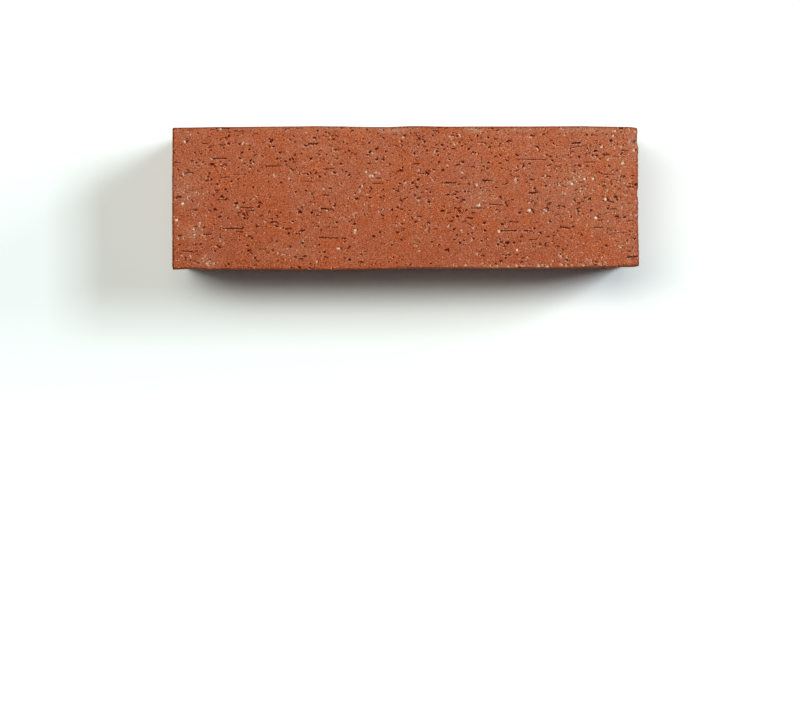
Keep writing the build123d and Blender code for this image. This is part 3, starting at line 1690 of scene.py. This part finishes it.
# The pits that show, read one by one: the pixel of each one's middle and its width
SEEN_PITS = (
    Pit(238.5, 144.4, 1.1), Pit(248.3, 149.6, 1.0), Pit(250, 160.4, 1.2), Pit(272.5, 146.8, 1.2),
    Pit(279, 152.8, 1.1), Pit(276.7, 158.4, 0.9), Pit(284.8, 161.6, 1.2, shade=0.7),
    Pit(191.4, 160.7, 1.0), Pit(195.6, 162.6, 1.0), Pit(194.2, 152.3, 0.9), Pit(197.2, 133, 1.1),
    Pit(207.9, 176.6, 0.9), Pit(216.8, 184, 1.3), Pit(224.7, 189.4, 0.9), Pit(214.3, 166.4, 1.0),
    Pit(224.3, 164.6, 1.2, shade=0.6), Pit(244, 164, 0.8), Pit(227.8, 132.3, 0.9),
    Pit(224.7, 137.5, 1.1, shade=0.7), Pit(241.2, 153, 0.9), Pit(253, 152.3, 0.9),
    Pit(179.2, 196.6, 1.5), Pit(280.2, 182.2, 1.1), Pit(252.6, 187.5, 0.9), Pit(257.2, 170.8, 0.9),
    Pit(313.5, 138.5, 1.3), Pit(294.2, 142, 1.0), Pit(317, 131.3, 1.1),
    Pit(325.2, 132.9, 1.1, shade=0.6), Pit(332.3, 139.4, 1.0), Pit(368.6, 142.7, 1.1),
    Pit(362.5, 138.9, 0.9), Pit(318.4, 154.8, 1.1), Pit(325.6, 154.9, 0.9), Pit(336.4, 159.2, 1.1),
    Pit(348.1, 151.2, 1.1), Pit(344.7, 152.7, 1.0), Pit(350.8, 153.2, 0.8), Pit(340.5, 164.2, 1.2),
    Pit(385.1, 151.2, 1.0), Pit(381.9, 159, 1.1), Pit(388.3, 146, 0.9), Pit(400.5, 141.4, 1.0),
    Pit(333.6, 172.6, 1.3), Pit(315.2, 173, 1.1), Pit(324.4, 174.6, 0.9), Pit(318.7, 176.8, 0.9),
    Pit(348.5, 175.1, 1.2), Pit(355.8, 159.3, 0.9), Pit(295, 191.7, 1.2), Pit(305.5, 190.4, 1.0),
    Pit(311.4, 193.8, 0.9), Pit(356.4, 198.6, 1.5), Pit(404, 181, 1.0), Pit(399.8, 183.7, 1.1),
    Pit(393.6, 189.2, 1.0), Pit(402, 167.6, 1.0), Pit(413.8, 153.8, 1.2), Pit(426.4, 150.9, 0.9),
    Pit(436.6, 151.4, 1.2), Pit(440.9, 144.8, 1.2), Pit(468.1, 148.6, 1.3), Pit(472.3, 152, 1.1),
    Pit(460.8, 145.8, 1.0), Pit(488, 147.3, 1.1), Pit(491, 142.8, 0.8), Pit(506.4, 141.3, 1.1),
    Pit(449.3, 159.6, 1.0), Pit(456.6, 164.6, 1.1), Pit(462.1, 161.9, 1.0), Pit(488, 162.6, 1.2),
    Pit(499.5, 162.7, 1.1), Pit(483, 166.1, 1.2, shade=0.7), Pit(499.8, 155, 1.0), Pit(442.3, 170, 1.1),
    Pit(411.9, 182.8, 1.3), Pit(417.6, 179.7, 1.3), Pit(480.3, 187.9, 0.9),
    Pit(495.3, 187.4, 1.1, shade=0.7), Pit(454.3, 194.2, 1.3), Pit(429.5, 192.2, 1.1, shade=0.7),
    Pit(414.5, 195, 1.2, shade=0.7), Pit(499.4, 196.4, 1.3), Pit(464.3, 191.2, 1.2, shade=0.6),
    Pit(487.6, 137.4, 1.0), Pit(476.9, 135.3, 1.1), Pit(456.6, 136, 1.1), Pit(497, 130.3, 1.1),
    Pit(424.3, 141.8, 1.2), Pit(418, 145.6, 1.0), Pit(551.7, 160.6, 1.2), Pit(523, 165.9, 1.2),
    Pit(529, 163.4, 1.0), Pit(546.1, 154.8, 1.2), Pit(578.8, 156.7, 1.3), Pit(594.7, 150.5, 1.4),
    Pit(596.3, 154.8, 1.2), Pit(603.5, 153.8, 1.1), Pit(606.7, 154, 0.9), Pit(610.7, 139.9, 1.4),
    Pit(591.5, 134.4, 1.1), Pit(573.6, 171.4, 1.5), Pit(546, 175.9, 1.3), Pit(516.6, 180.2, 1.2),
    Pit(571.7, 183, 1.4), Pit(585.3, 178.3, 1.2), Pit(534.1, 188.3, 1.4), Pit(545.3, 185.8, 1.3),
    Pit(562.8, 185.4, 0.8), Pit(602.7, 185.8, 1.2), Pit(620.2, 176.6, 1.0), Pit(589.1, 198.5, 1.5),
    Pit(606.9, 176.5, 1.1), Pit(235.6, 203, 1.5), Pit(258.4, 206.1, 1.3), Pit(214.4, 209, 1.2),
    Pit(196, 210.2, 1.2, shade=0.6), Pit(219, 216.5, 1.1), Pit(227, 217.4, 0.9), Pit(243.8, 217.8, 1.1),
    Pit(194.9, 229.9, 1.0), Pit(242.7, 227, 1.0), Pit(257.2, 226, 1.2), Pit(285.6, 228.6, 1.0),
    Pit(275.6, 215.1, 0.9), Pit(251.5, 237.8, 1.1), Pit(180, 235.7, 1.1), Pit(214.4, 250.7, 1.0),
    Pit(246.9, 245, 1.1, shade=0.7), Pit(248, 250.3, 1.0), Pit(272.1, 249.6, 1.2), Pit(268, 252.3, 1.1),
    Pit(259.9, 248.9, 0.9), Pit(254.9, 256.9, 1.1), Pit(227.8, 263.3, 1.0), Pit(209.8, 259.1, 1.0),
    Pit(203.7, 227.2, 1.0), Pit(299.3, 211.6, 1.9), Pit(310.8, 212.5, 1.1), Pit(328.6, 201, 0.9),
    Pit(333.6, 205.4, 1.2), Pit(335.9, 221.9, 1.2), Pit(353.5, 223.6, 1.2), Pit(348.5, 221.2, 0.9),
    Pit(382.2, 215.2, 1.1), Pit(397.1, 207.6, 1.2), Pit(401.4, 223.6, 1.2), Pit(379.5, 231.7, 1.0),
    Pit(397.5, 232, 1.2, shade=0.8), Pit(373.4, 235.9, 1.1), Pit(302.2, 242.3, 1.1),
    Pit(290, 246, 1.3, shade=0.7), Pit(295, 256.5, 1.3, shade=0.6), Pit(324, 251.2, 1.1),
    Pit(349.2, 259.3, 1.4), Pit(392.9, 257.3, 1.0), Pit(288, 232.8, 1.1), Pit(286, 228.6, 1.0),
    Pit(428.3, 201.7, 1.5), Pit(463.1, 199.8, 1.3), Pit(415.7, 221.7, 1.1), Pit(456.6, 216.3, 1.3),
    Pit(455.1, 207.6, 1.1), Pit(465.8, 210.2, 1.1), Pit(453.6, 229.4, 1.4), Pit(483.8, 222.8, 1.2),
    Pit(484.2, 230.5, 1.2), Pit(501.8, 223.9, 1.3), Pit(456.2, 234.4, 0.9), Pit(467.3, 234.4, 1.0),
    Pit(481, 240.5, 1.1), Pit(500.4, 241.8, 1.3), Pit(512.5, 242.4, 1.1), Pit(431.4, 241.9, 0.9),
    Pit(459.3, 242.7, 1.0), Pit(499.8, 260.8, 1.1), Pit(504.8, 258, 1.0), Pit(494.8, 263.4, 1.0),
    Pit(530.6, 209.3, 1.1), Pit(547.4, 210.3, 1.0), Pit(607.3, 199.6, 1.3), Pit(597, 216.5, 1.1),
    Pit(574, 200.2, 1.3, shade=0.8), Pit(519, 212.7, 1.2), Pit(577.4, 211.2, 1.3),
    Pit(590.4, 210.2, 1.2), Pit(616.7, 199.6, 1.1), Pit(533.7, 227.9, 1.3), Pit(549.3, 221.1, 1.0),
    Pit(572.3, 226.3, 1.4), Pit(539.7, 232.7, 1.1), Pit(547.6, 236.5, 1.1, shade=0.7),
    Pit(605.5, 246.1, 1.2), Pit(559.5, 253.9, 1.2), Pit(565.9, 259.8, 1.1),
    Pit(538.9, 244.7, 1.1, shade=0.7), Pit(615.9, 216.4, 1.2), Pit(623.9, 218, 1.1),
    Pit(614.3, 230.6, 1.0), Pit(366, 129, 1.0), Pit(394.4, 127.6, 0.9), Pit(398.2, 127.5, 0.9),
    Pit(403.2, 127.7, 0.9), Pit(407, 127.6, 0.9), Pit(416.7, 127.6, 0.9), Pit(445.9, 128, 0.9),
    Pit(463.1, 127.7, 0.8), Pit(475.4, 127.8, 1.0), Pit(478.8, 128, 0.8), Pit(488, 127.9, 0.9),
)

# The grooves that show, read one by one: the pixels of each one's ends and its width
SEEN_GROOVES = (
    Groove(265, 166.2, 276, 166.4, 0.55, shade=0.8),
    Groove(211.5, 158.5, 225.8, 158.6, 0.55, shade=0.85),
    Groove(184.5, 173.2, 192.5, 173, 0.6, shade=0.9, bow=0.5),
    Groove(200.8, 143, 207, 143.8, 0.45, shade=0.7),
    Groove(239.5, 206.9, 252.5, 207.6, 0.45, shade=0.8),
    Groove(222, 228.2, 241.2, 228.5, 0.6, shade=0.85, bow=0.15),
    Groove(268.8, 222.6, 277.6, 222.4, 0.6, shade=0.85, bow=0.5),
    Groove(181.9, 251, 192.3, 252.4, 0.6, shade=0.6), Groove(308, 144.5, 316.8, 144.4, 0.9, shade=1),
    Groove(372.3, 183, 381.5, 183.5, 0.5, shade=0.75), Groove(321.8, 194.7, 328, 195, 0.6, shade=0.8),
    Groove(319, 237, 337, 237.5, 0.6, shade=0.7), Groove(341.5, 237.9, 345.4, 237.9, 0.6, shade=0.7),
    Groove(441.5, 183, 455.5, 182.7, 0.6, shade=0.8), Groove(457, 184.3, 461, 184, 0.5, shade=0.7),
    Groove(417, 173.4, 423.5, 173.7, 0.5, shade=0.75), Groove(515, 159, 546, 159.6, 0.4, shade=0.75),
    Groove(571.5, 143.1, 580, 142.6, 0.8, shade=0.9),
    Groove(569.2, 148.2, 586.7, 144.7, 0.4, shade=0.6),
    Groove(621, 149.8, 626.8, 149.9, 0.6, shade=0.7),
    Groove(528.6, 192.7, 536.7, 192.2, 0.9, shade=0.9), Groove(488.8, 204, 501.8, 205, 0.6, shade=0.8),
    Groove(415.8, 216.3, 420.5, 216.1, 0.55, shade=0.8),
    Groove(499.8, 230.6, 515.5, 230.6, 0.6, shade=1), Groove(523.5, 230.6, 531, 230.7, 0.6, shade=0.95),
    Groove(559.8, 226.8, 567.8, 227.9, 1, shade=0.6), Groove(593.5, 227.5, 602, 227.7, 0.65, shade=0.8),
    Groove(608.2, 235, 625.9, 233.4, 0.4, shade=0.6, bow=0.3),
    Groove(626.6, 259, 638, 257.9, 0.9, shade=0.6), Groove(597.5, 171.2, 601, 173.2, 0.7, shade=0.9),
    Groove(603, 174.3, 613, 174, 0.5, shade=0.7), Groove(320.5, 208.2, 326.3, 208.9, 0.7, shade=0.95),
    Groove(232, 174.3, 241, 174.3, 0.45, shade=0.4), Groove(357, 144.8, 363, 145, 0.4, shade=0.5),
    Groove(303, 181.2, 313, 182.5, 0.4, shade=0.4), Groove(303.5, 145.8, 307, 145.9, 0.7, shade=0.8),
    Groove(186.2, 211, 197, 209.8, 0.5, shade=0.5, bow=0.4),
)

# The grains that show, read one by one: the pixel of each one's middle and its radius
SEEN_GRAINS = (
    Grain(604.6, 199.4, 0.9), Grain(594.9, 218, 0.85), Grain(528.6, 210.3, 0.85),
    Grain(545.4, 210.9, 0.6), Grain(583.9, 178.8, 0.7), Grain(592.3, 178.4, 0.65),
    Grain(607.4, 159.2, 0.5), Grain(633, 149.4, 0.6), Grain(601.3, 147, 0.6), Grain(478.3, 205.3, 0.65),
    Grain(498.2, 231.5, 0.75), Grain(526.6, 257, 0.5), Grain(557.8, 254.8, 0.55),
    Grain(619.6, 248.8, 0.55), Grain(184, 141.9, 0.65), Grain(182.2, 203.7, 0.75),
    Grain(176.5, 220, 0.6), Grain(193.5, 229.6, 0.65), Grain(182.7, 238, 0.5), Grain(273.4, 175.9, 0.5),
    Grain(372.1, 176, 0.6), Grain(365.7, 171.8, 0.6), Grain(355, 230.2, 0.6), Grain(316.4, 261, 0.5),
    Grain(338.6, 248.1, 0.6), Grain(190, 134.2, 0.45), Grain(189.9, 143.5, 0.4),
    Grain(211.3, 159.3, 0.5), Grain(195.6, 192.5, 0.5), Grain(182.6, 174.1, 0.5),
    Grain(219, 185.8, 0.45), Grain(220.1, 129.2, 0.6), Grain(241.3, 160.8, 0.45),
    Grain(371.3, 152.5, 0.55), Grain(361.5, 185.5, 0.5), Grain(323.2, 189.3, 0.5),
    Grain(461.7, 172.5, 0.5), Grain(515.6, 180.1, 0.5), Grain(432.6, 181.3, 0.5),
    Grain(476.6, 184.4, 0.5), Grain(446.7, 165.7, 0.5), Grain(449, 136.4, 0.5),
    Grain(458.9, 135.4, 0.5), Grain(434.3, 151.2, 0.45), Grain(453.2, 144.6, 0.5),
    Grain(545.1, 175.6, 0.5), Grain(544.4, 181.3, 0.4), Grain(571.3, 183.6, 0.7),
    Grain(580.7, 171, 0.5), Grain(568.6, 149, 0.45), Grain(558.9, 185.2, 0.5), Grain(579.4, 190.2, 0.5),
    Grain(561, 128.5, 0.5), Grain(543.5, 129.4, 0.4), Grain(460.8, 230.1, 0.5),
    Grain(448.2, 226.2, 0.5), Grain(472.4, 227.9, 0.5), Grain(476.2, 254.5, 0.5),
    Grain(418.4, 250.8, 0.4), Grain(414.5, 213, 0.4), Grain(382.6, 209.5, 0.5),
    Grain(194.6, 215.2, 0.5), Grain(199.8, 223.9, 0.5), Grain(194, 235, 0.5), Grain(591.3, 232.8, 0.4),
    Grain(590.5, 236, 0.45), Grain(556.9, 234.7, 0.4), Grain(571.5, 240.8, 0.4),
    Grain(590.4, 262.7, 0.5), Grain(600.6, 258.2, 0.4), Grain(618.6, 176.5, 0.5),
    Grain(621, 207.8, 0.45), Grain(347.6, 198.5, 0.5), Grain(330.9, 268, 0.5),
    Grain(314.3, 245.6, 0.45), Grain(207.5, 263, 0.5), Grain(213.6, 263.3, 0.5),
    Grain(633.4, 140.3, 0.85, burnt=True), Grain(614.7, 130.5, 0.6), Grain(613, 135.4, 0.5),
    Grain(629.1, 128.8, 0.55), Grain(629, 141.2, 0.45), Grain(622.3, 162.6, 0.6),
    Grain(635.4, 130, 0.5), Grain(614.2, 147.4, 0.45), Grain(452.9, 265.4, 0.45),
    Grain(459.3, 258.5, 0.4), Grain(465.1, 265.3, 0.5), Grain(481.9, 263, 0.45), Grain(489.6, 266, 0.5),
    Grain(496.7, 265.8, 0.5), Grain(507.5, 266, 0.5), Grain(516, 265, 0.45), Grain(520.5, 265.4, 0.45),
    Grain(523.8, 266, 0.4), Grain(537.9, 266.2, 0.55), Grain(541.8, 265.8, 0.5),
    Grain(547, 266.2, 0.55), Grain(552.1, 261.1, 0.5), Grain(550.2, 265, 0.4),
    Grain(561.1, 264.6, 0.55), Grain(565.2, 265.6, 0.5), Grain(571.4, 265, 0.4), Grain(583, 265.8, 0.5),
    Grain(585.6, 259.2, 0.4), Grain(599.8, 265.6, 0.45), Grain(604.9, 263.7, 0.45),
    Grain(560.3, 256.2, 0.5), Grain(565.6, 257.2, 0.5), Grain(625.5, 205, 0.4), Grain(629.8, 196, 0.4),
    Grain(634.5, 207, 0.4), Grain(636, 215, 0.4), Grain(623.8, 166.5, 0.4), Grain(620, 171, 0.4),
    Grain(183.2, 192.1, 0.4), Grain(197.7, 205.2, 0.4), Grain(187, 131.5, 0.4),
    Grain(224.8, 229.4, 0.4), Grain(549.3, 184.5, 0.4), Grain(567.6, 182.9, 0.4),
    Grain(578.4, 176.6, 0.35), Grain(589.5, 173, 0.4), Grain(595.6, 176.6, 0.35),
    Grain(618.6, 181.4, 0.4), Grain(617.8, 185, 0.35), Grain(624.2, 183.3, 0.4),
    Grain(629.8, 181.3, 0.35), Grain(624.6, 187.4, 0.35), Grain(581.6, 194.1, 0.35),
    Grain(591.9, 190, 0.4), Grain(606.7, 190.9, 0.35), Grain(625.8, 193.7, 0.4), Grain(635, 200.9, 0.4),
    Grain(568, 212, 0.45), Grain(570.8, 204, 0.4), Grain(577.2, 219.6, 0.4), Grain(542.9, 213.2, 0.35),
    Grain(562, 191.7, 0.35), Grain(573, 177.5, 0.35), Grain(631.4, 218.4, 0.4),
    Grain(375.1, 172.6, 0.45), Grain(361.5, 180.1, 0.35), Grain(371.9, 180.1, 0.35),
    Grain(359.1, 190.9, 0.4), Grain(366.3, 194.9, 0.35), Grain(363.9, 204.5, 0.4),
    Grain(345.2, 205.7, 0.35), Grain(354, 212.7, 0.4), Grain(353.6, 217.2, 0.4),
    Grain(378.3, 211.2, 0.4), Grain(430.2, 177.4, 0.35), Grain(437.4, 194.1, 0.4),
    Grain(432.5, 198.5, 0.35), Grain(415.3, 216.8, 0.4), Grain(418.9, 219.2, 0.35),
    Grain(430.9, 217.2, 0.35), Grain(202.3, 257.9, 0.4), Grain(189.5, 256.3, 0.35),
    Grain(202.3, 229.2, 0.4), Grain(205.4, 215.6, 0.35), Grain(253.3, 198.9, 0.4),
    Grain(238.1, 207.7, 0.45), Grain(265.2, 222, 0.45), Grain(302.7, 240.4, 0.45),
    Grain(219.8, 240.3, 0.35), Grain(223.8, 243.5, 0.35), Grain(177.5, 238, 0.4),
    Grain(318.6, 222, 0.35), Grain(340.2, 217.2, 0.35), Grain(599.3, 253.1, 0.35),
    Grain(607.3, 222.8, 0.4), Grain(425.5, 230.8, 0.35),
)

# Where the clay is dusted pale: a pixel, the patch's half sizes and its strength
SEEN_BLOOM = (
    Patch(187, 187, 7.0, 10.0, 0.4), Patch(192, 231, 5.0, 4.0, 0.6), Patch(208, 262, 5.0, 2.5, 0.6),
    Patch(188, 134, 4.0, 2.5, 0.3), Patch(287, 250, 12.0, 4.0, 0.25), Patch(620, 190, 6.0, 25.0, 0.22),
    Patch(578, 182, 8.0, 6.0, 0.3), Patch(597, 220, 5.0, 6.0, 0.25), Patch(556, 195, 24.0, 14.0, 0.15),
    Patch(372, 174, 5.0, 4.0, 0.3), Patch(482, 200, 7.0, 5.0, 0.25), Patch(320, 150, 9.0, 5.0, 0.2),
    Patch(396, 130.2, 6.5, 1.2, 1.0), Patch(472.8, 130.2, 4.5, 1.3, 1.0),
    Patch(515, 129.5, 8.0, 1.0, 0.5), Patch(586.5, 130, 11.0, 1.3, 0.8),
    Patch(260, 128.6, 32.0, 0.9, 0.3), Patch(350, 128.6, 20.0, 0.9, 0.35),
    Patch(508.5, 266, 30.0, 1.0, 0.5), Patch(635, 141, 2.5, 5.0, 0.7),
)

# Where the clay is rougher than the most of it, or smoother: the same values
SEEN_ROUGHNESS = (
    Patch(218, 161, 4.0, 4.0, 0.3), Patch(245, 151, 5.0, 3.0, 0.4), Patch(280, 160, 5.0, 3.0, 0.3),
    Patch(237, 205, 5.0, 5.0, 0.3), Patch(272, 218, 6.0, 3.0, 0.3), Patch(230, 228, 8.0, 3.0, 0.3),
    Patch(320, 172, 5.0, 4.0, 0.4), Patch(327, 150, 6.0, 4.0, 0.3), Patch(415, 184, 7.0, 7.0, 0.25),
    Patch(372, 177, 4.0, 4.0, 0.3), Patch(403, 149, 6.0, 3.0, 0.3), Patch(453, 224, 6.0, 4.0, 0.4),
    Patch(485, 200, 7.0, 6.0, 0.3), Patch(490, 159, 6.0, 5.0, 0.4), Patch(500, 231, 8.0, 4.0, 0.3),
    Patch(537, 157, 9.0, 4.0, 0.4), Patch(535, 200, 10.0, 5.0, 0.3), Patch(580, 183, 9.0, 9.0, 0.8),
    Patch(602, 150, 6.0, 4.0, 0.5), Patch(610, 190, 6.0, 12.0, 0.4), Patch(583, 221, 10.0, 5.0, 0.4),
    Patch(265, 188, 10.0, 5.0, -0.5), Patch(187, 180, 4.0, 5.0, -0.3), Patch(335, 188, 8.0, 4.0, -0.5),
    Patch(365, 230, 8.0, 8.0, -0.5), Patch(385, 252, 18.0, 5.0, -0.4), Patch(438, 198, 5.0, 9.0, -0.5),
    Patch(455, 256, 18.0, 4.0, -0.5), Patch(528, 180, 6.0, 3.0, -0.4), Patch(535, 256, 16.0, 4.0, -0.4),
    Patch(629, 176, 4.0, 9.0, 0.35), Patch(600, 250, 10.0, 4.0, -0.3), Patch(220, 254, 10.0, 4.0, -0.4),
    Patch(430, 240, 8.0, 6.0, -0.3), Patch(376, 152, 10.0, 7.0, -0.4), Patch(549, 150, 10.0, 7.0, 0.4),
    Patch(549, 243, 10.0, 7.0, 0.4), Patch(318, 243, 10.0, 7.0, -0.4),
)


def main() -> None:
    """Builds the brick and the studio round it."""
    logging.basicConfig(level=logging.INFO, format="%(name)s: %(message)s")
    Brick().build()
    Studio().build()


if __name__ == "__main__":
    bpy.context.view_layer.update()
    main()
